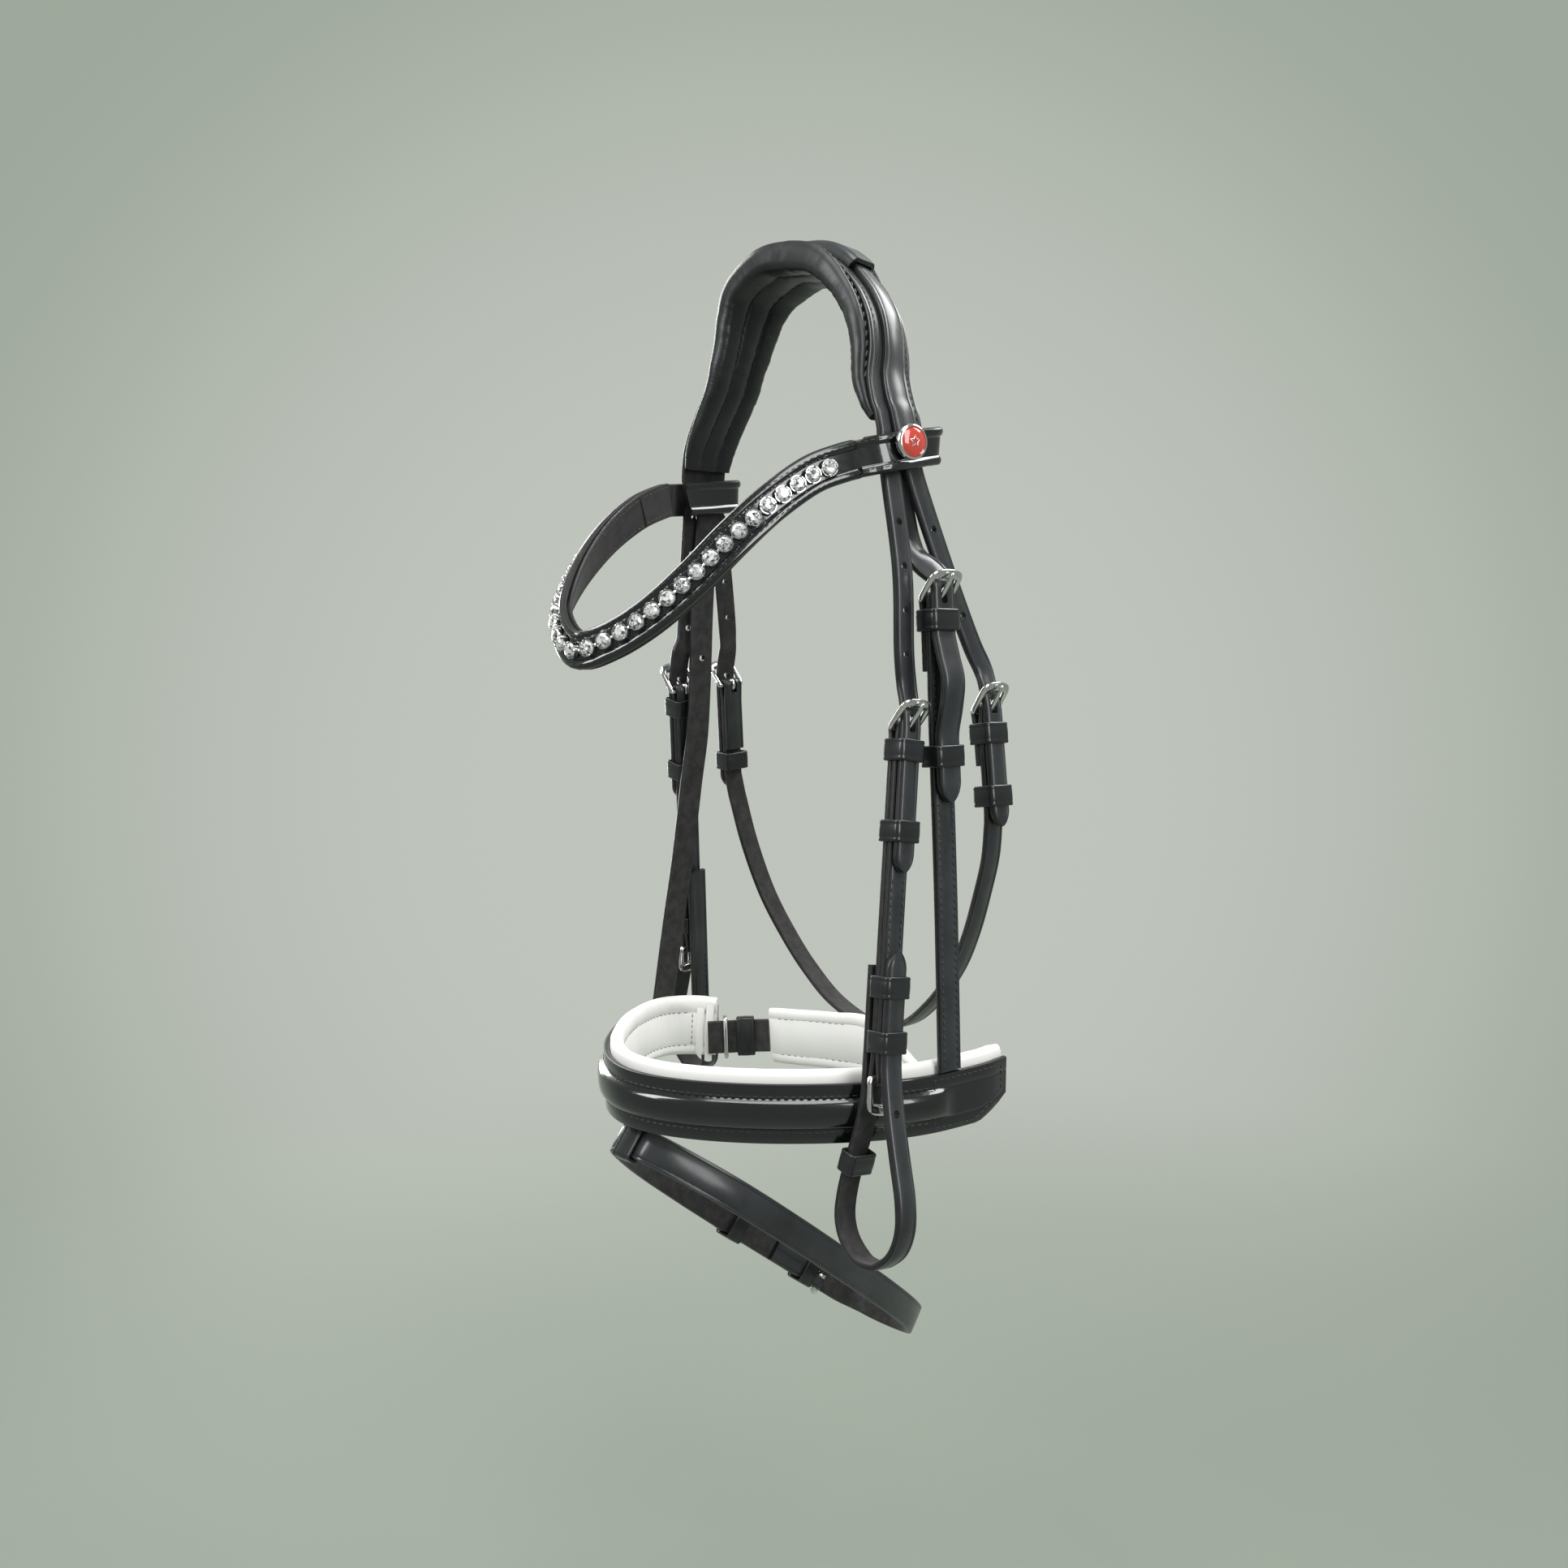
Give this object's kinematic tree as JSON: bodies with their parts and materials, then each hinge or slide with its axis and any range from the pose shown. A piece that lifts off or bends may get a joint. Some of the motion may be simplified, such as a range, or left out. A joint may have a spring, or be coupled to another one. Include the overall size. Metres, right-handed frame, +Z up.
{
  "type": "pony bridle",
  "caption": "Black leather pony bridle with padded headpiece, crystal browband, throatlatch, buckled cheekpieces and a white-lined flash noseband",
  "frame": {"origin": "on the underside of the padded headpiece, at the middle of its top, where it rests on the poll", "axes": "+Z up, the pony faces -Y, and the pony's near (left) side is +X"},
  "size_m": [0.2354, 0.1859, 0.5023],
  "materials": {
    "leather": "semi-gloss black strap leather with creased edges",
    "patent": "glossy black patent leather",
    "lining": "matte black soft lining leather",
    "white_lining": "soft white padded lining",
    "nickel": "bright polished nickel",
    "crystal": "clear faceted crystals in bright metal cups",
    "enamel": "glossy red enamel with a bright rim"
  },
  "bodies": {
    "headpiece": {"crown_pad": "lining", "crown_leather": "leather", "poll_loop": "leather", "sliphead": "leather", "noseband_hanger": "leather", "noseband_buckle": "nickel", "noseband_keeper": "patent", "noseband_outer": "patent", "noseband_lining": "white_lining", "chin_pad": "white_lining", "chin_link": "leather", "chin_roller": "nickel", "chin_keeper": "patent"},
    "browband": {"browband_strap": "patent", "browband_lining": "lining", "crystal_chain": "crystal", "button_near": "enamel", "button_far": "enamel"},
    "throatlatch": {"throat_strap": "leather", "throat_billet_near": "leather", "throat_billet_far": "leather", "throat_buckle_near": "nickel", "throat_buckle_far": "nickel", "throat_keeper_near": "patent", "throat_keeper_far": "patent"},
    "flash": {"flash_strap": "leather", "flash_buckle": "nickel", "flash_keeper": "patent", "flash_loop": "leather"},
    "cheekpiece_near": {"cheek_billet_near": "leather", "cheek_strap_near": "leather", "cheek_buckle_near": "nickel", "cheek_keeper_near": "patent", "bit_strap_near": "leather", "bit_buckle_near": "nickel", "bit_keeper_upper_near": "patent", "bit_keeper_lower_near": "patent", "bit_keeper_sewn_near": "patent"},
    "cheek_tongue_near_body": {"cheek_tongue_near": "nickel"},
    "bit_tongue_near_body": {"bit_tongue_near": "nickel"},
    "cheek_runner_near_body": {"cheek_runner_near": "patent"},
    "throat_tongue_near_body": {"throat_tongue_near": "nickel"},
    "cheekpiece_far": {"cheek_billet_far": "leather", "cheek_strap_far": "leather", "cheek_buckle_far": "nickel", "cheek_keeper_far": "patent", "bit_strap_far": "leather", "bit_buckle_far": "nickel", "bit_keeper_upper_far": "patent", "bit_keeper_lower_far": "patent", "bit_keeper_sewn_far": "patent"},
    "cheek_tongue_far_body": {"cheek_tongue_far": "nickel"},
    "bit_tongue_far_body": {"bit_tongue_far": "nickel"},
    "cheek_runner_far_body": {"cheek_runner_far": "patent"},
    "throat_tongue_far_body": {"throat_tongue_far": "nickel"},
    "throat_runner_near_body": {"throat_runner_near": "patent"},
    "noseband_tongue_body": {"noseband_tongue": "nickel"},
    "noseband_runner_body": {"noseband_runner": "patent"},
    "flash_tongue_body": {"flash_tongue": "nickel"},
    "flash_runner_body": {"flash_runner": "patent"}
  },
  "joints": [
    {"name": "cheekpiece_near_swing", "type": "hinge", "parent": "headpiece", "child": "cheekpiece_near", "pos_m": [0.0641, -0.01775, -0.0831], "axis": [0, -1, 0], "range_deg": [0, 25]},
    {"name": "cheekpiece_far_swing", "type": "hinge", "parent": "headpiece", "child": "cheekpiece_far", "pos_m": [-0.0641, -0.0176, -0.0905], "axis": [0, 1, 0], "range_deg": [0, 25]},
    {"name": "throatlatch_swing", "type": "hinge", "parent": "headpiece", "child": "throatlatch", "pos_m": [0.06366, -0.0043, -0.0848], "axis": [0.9975, 0.0063, 0.07], "range_deg": [0, 25]},
    {"name": "flash_swing", "type": "hinge", "parent": "headpiece", "child": "flash", "pos_m": [0, -0.0935, -0.3485], "axis": [1, 0, 0], "range_deg": [0, 15]},
    {"name": "browband_slide", "type": "slide", "parent": "headpiece", "child": "browband", "axis": [0, 0, 1], "range_m": [0, 0.002]},
    {"name": "cheek_tongue_near_lift", "type": "hinge", "parent": "cheekpiece_near", "child": "cheek_tongue_near_body", "pos_m": [0.075, -0.02, -0.186], "axis": [0, 0.9862, -0.1656], "range_deg": [0, 4]},
    {"name": "bit_tongue_near_lift", "type": "hinge", "parent": "cheekpiece_near", "child": "bit_tongue_near_body", "pos_m": [0.0883, -0.04216, -0.31799], "axis": [0, -0.9862, 0.1656], "range_deg": [0, 7]},
    {"name": "cheek_runner_near_slide", "type": "slide", "parent": "cheekpiece_near", "child": "cheek_runner_near_body", "axis": [-0.0989, 0.1648, 0.9814], "range_m": [0, 0.015]},
    {"name": "cheek_tongue_far_lift", "type": "hinge", "parent": "cheekpiece_far", "child": "cheek_tongue_far_body", "pos_m": [-0.073, -0.0174, -0.176], "axis": [0, -0.9864, -0.1643], "range_deg": [0, 4]},
    {"name": "bit_tongue_far_lift", "type": "hinge", "parent": "cheekpiece_far", "child": "bit_tongue_far_body", "pos_m": [-0.09726, 0.00433, -0.3065], "axis": [0, 0.9864, 0.1643], "range_deg": [0, 7]},
    {"name": "cheek_runner_far_slide", "type": "slide", "parent": "cheekpiece_far", "child": "cheek_runner_far_body", "axis": [0.1803, -0.1616, 0.9702], "range_m": [0, 0.015]},
    {"name": "throat_tongue_near_lift", "type": "hinge", "parent": "throatlatch", "child": "throat_tongue_near_body", "pos_m": [0.078, 0.024, -0.181], "axis": [0, 0.999, -0.0457], "range_deg": [0, 4]},
    {"name": "throat_tongue_far_lift", "type": "hinge", "parent": "throatlatch", "child": "throat_tongue_far_body", "pos_m": [-0.0845, 0.0197, -0.175], "axis": [0, -0.9967, -0.081], "range_deg": [0, 4]},
    {"name": "throat_runner_near_slide", "type": "slide", "parent": "throatlatch", "child": "throat_runner_near_body", "axis": [-0.1578, 0.0451, 0.9864], "range_m": [0, 0.012]},
    {"name": "noseband_tongue_lift", "type": "hinge", "parent": "headpiece", "child": "noseband_tongue_body", "pos_m": [0.0745, -0.0025, -0.136], "axis": [0, 0.9998, -0.0183], "range_deg": [0, 4]},
    {"name": "noseband_runner_slide", "type": "slide", "parent": "headpiece", "child": "noseband_runner_body", "axis": [-0.0866, 0.0182, 0.9961], "range_m": [0, 0.003]},
    {"name": "flash_tongue_lift", "type": "hinge", "parent": "flash", "child": "flash_tongue_body", "pos_m": [-0.02953, 0.03121, -0.4648], "axis": [0, 0.6299, 0.7767], "range_deg": [0, 4]},
    {"name": "flash_runner_slide", "type": "slide", "parent": "flash", "child": "flash_runner_body", "axis": [-0.1172, -0.7713, 0.6256], "range_m": [0, 0.002]}
  ]
}
